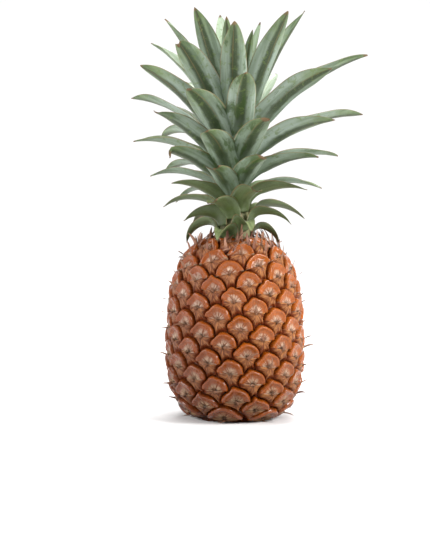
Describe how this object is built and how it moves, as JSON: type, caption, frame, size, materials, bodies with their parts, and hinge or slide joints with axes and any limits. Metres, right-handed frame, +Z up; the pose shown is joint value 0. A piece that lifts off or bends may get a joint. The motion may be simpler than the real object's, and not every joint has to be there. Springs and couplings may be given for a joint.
{
  "type": "pineapple",
  "caption": "Whole pineapple standing on its flat base: an upright barrel-shaped fruit covered in spiral eyes, with a crown of arching pointed leaves.",
  "frame": {"origin": "centre of the flat resting spot at the base of the fruit", "axes": "+Z up along the fruit's axis, -Y the front, +X to the right of someone facing the front"},
  "size_m": [0.1855, 0.1799, 0.3163],
  "materials": {
    "rind": "waxy fruit rind",
    "stalk": "dry cut fibre",
    "stem": "matte plant stem",
    "leaf_lower": "satin leaf",
    "leaf_upper": "waxy grey-green leaf"
  },
  "bodies": {
    "root": {"fruit_body": "rind", "cut_stalk": "stalk", "crown_stem": "stem", "leaf_01": "leaf_lower", "leaf_02": "leaf_lower", "leaf_03": "leaf_lower", "leaf_04": "leaf_lower", "leaf_05": "leaf_lower", "leaf_06": "leaf_lower", "leaf_07": "leaf_lower", "leaf_08": "leaf_lower", "leaf_09": "leaf_lower", "leaf_10": "leaf_lower", "leaf_11": "leaf_lower", "leaf_12": "leaf_lower", "leaf_13": "leaf_lower", "leaf_14": "leaf_lower", "leaf_15": "leaf_lower", "leaf_16": "leaf_lower", "leaf_17": "leaf_lower", "leaf_18": "leaf_lower", "leaf_19": "leaf_lower", "leaf_20": "leaf_lower", "leaf_21": "leaf_upper", "leaf_22": "leaf_upper", "leaf_23": "leaf_upper", "leaf_24": "leaf_upper", "leaf_25": "leaf_upper", "leaf_26": "leaf_upper", "leaf_27": "leaf_upper", "leaf_28": "leaf_upper", "leaf_29": "leaf_upper", "leaf_30": "leaf_upper", "leaf_31": "leaf_upper", "leaf_32": "leaf_upper", "leaf_33": "leaf_upper", "leaf_34": "leaf_upper", "leaf_35": "leaf_upper", "leaf_36": "leaf_upper", "leaf_37": "leaf_upper", "leaf_38": "leaf_upper", "leaf_39": "leaf_upper", "leaf_40": "leaf_upper", "leaf_41": "leaf_upper", "leaf_42": "leaf_upper", "leaf_43": "leaf_upper", "leaf_44": "leaf_upper", "leaf_45": "leaf_upper", "leaf_46": "leaf_upper", "leaf_47": "leaf_upper", "leaf_48": "leaf_upper", "leaf_49": "leaf_upper", "leaf_50": "leaf_upper", "leaf_51": "leaf_upper", "leaf_52": "leaf_upper", "leaf_53": "leaf_upper", "leaf_54": "leaf_upper", "leaf_55": "leaf_upper", "leaf_56": "leaf_upper"}
  },
  "joints": []
}
